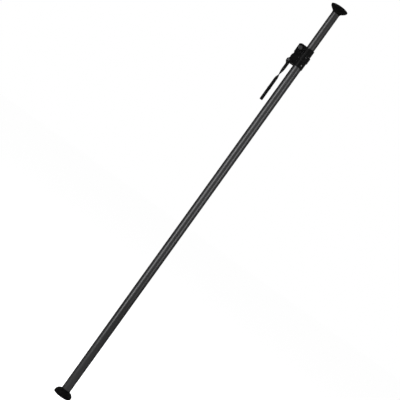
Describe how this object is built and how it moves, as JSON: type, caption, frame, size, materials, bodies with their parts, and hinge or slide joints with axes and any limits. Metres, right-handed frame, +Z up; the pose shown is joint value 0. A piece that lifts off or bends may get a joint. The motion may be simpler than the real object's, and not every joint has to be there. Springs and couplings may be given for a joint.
{
  "type": "floor-to-ceiling pole",
  "caption": "Telescopic pole that presses between floor and ceiling on rubber cups, with a hanging lever that lifts and clamps the upper tube and a knob that lets it go.",
  "frame": {"origin": "on the floor, in the middle of the foot cup's contact ring", "axes": "+Z up the pole, -X towards the lever, -Y towards the release knob"},
  "size_m": [0.1094, 0.089, 2.233],
  "materials": {
    "anodised_aluminium": "dark grey anodised, satin",
    "black_rubber": "matt moulded rubber",
    "black_casting": "black powder coat, satin",
    "black_plastic": "moulded, fine grain",
    "nylon": "natural nylon",
    "zinc_steel": "zinc plated",
    "blackened_steel": "black oxide",
    "jaw_lining": "matt friction lining"
  },
  "bodies": {
    "lower_column": {"lower_tube": "anodised_aluminium", "foot_cup": "black_rubber", "foot_plug": "black_plastic", "foot_screw": "zinc_steel", "foot_washer": "zinc_steel", "foot_rivet_1": "blackened_steel", "foot_rivet_2": "blackened_steel", "foot_rivet_3": "blackened_steel", "stop_screw_1": "blackened_steel", "stop_screw_2": "blackened_steel", "stop_screw_3": "blackened_steel", "collar_body": "black_casting", "collar_screw_1": "blackened_steel", "collar_screw_2": "blackened_steel", "collar_screw_3": "blackened_steel", "guide_bush": "nylon", "lever_pin": "zinc_steel", "pin_clip": "blackened_steel", "channel_cover": "black_casting", "cover_screw_1": "blackened_steel", "cover_screw_2": "blackened_steel", "plunger_sleeve": "zinc_steel", "plunger_spring": "blackened_steel"},
    "lever": {"lever_arm": "black_casting", "lever_bush_1": "nylon", "lever_bush_2": "nylon", "crank_pin": "zinc_steel", "crank_roller": "zinc_steel", "lever_grip": "black_plastic", "grip_rivet": "blackened_steel"},
    "plunger": {"plunger_pin": "zinc_steel", "plunger_knob": "black_plastic"},
    "lift_carrier": {"carrier_body": "black_casting", "carrier_cap": "black_casting", "cap_screw_1": "blackened_steel", "cap_screw_2": "blackened_steel", "cap_screw_3": "blackened_steel", "cap_screw_4": "blackened_steel", "carrier_bush": "nylon", "wedge_rail_1": "zinc_steel", "wedge_rail_2": "zinc_steel", "set_screw": "blackened_steel", "jaw_spring": "blackened_steel"},
    "jaw": {"grip_jaw": "zinc_steel", "jaw_pad": "jaw_lining"},
    "release": {"release_knob": "black_plastic", "release_spindle": "zinc_steel", "knob_screw": "blackened_steel"},
    "upper_column": {"upper_tube": "anodised_aluminium", "tube_glide": "nylon", "glide_rivet_1": "blackened_steel", "glide_rivet_2": "blackened_steel", "ceiling_cup": "black_rubber", "ceiling_plug": "black_plastic", "ceiling_screw": "zinc_steel", "ceiling_washer": "zinc_steel", "ceiling_rivet_1": "blackened_steel", "ceiling_rivet_2": "blackened_steel", "ceiling_rivet_3": "blackened_steel"}
  },
  "joints": [
    {"name": "lever_swing", "type": "hinge", "parent": "lower_column", "child": "lever", "pos_m": [-0.0545, 0, 1.895], "axis": [0, 1, 0], "range_deg": [0, 102]},
    {"name": "carrier_lift", "type": "slide", "parent": "lower_column", "child": "lift_carrier", "axis": [0, 0, -1], "range_m": [0, 0.01532]},
    {"name": "pole_extend", "type": "slide", "parent": "lift_carrier", "child": "upper_column", "axis": [0, 0, 1], "range_m": [-0.133, 1.4815]},
    {"name": "release_turn", "type": "hinge", "parent": "lift_carrier", "child": "release", "pos_m": [-0.043, 0, 1.972], "axis": [0, -1, 0], "range_deg": [0, 95]},
    {"name": "jaw_slide", "type": "slide", "parent": "lift_carrier", "child": "jaw", "axis": [-0.1736, 0, 0.9848], "range_m": [0, 0.00503], "stiffness_N_per_m": 150, "springref_m": -0.01, "deforming": ["jaw_spring"]},
    {"name": "plunger_pull", "type": "slide", "parent": "lower_column", "child": "plunger", "axis": [0, -1, 0], "range_m": [0, 0.002], "stiffness_N_per_m": 100, "springref_m": -0.002, "deforming": ["plunger_spring"]}
  ],
  "couplings": [
    {"joint": "lever_swing", "follows": "carrier_lift", "rad_per_m": 113.92},
    {"joint": "release_turn", "follows": "jaw_slide", "rad_per_m": 312.53}
  ]
}
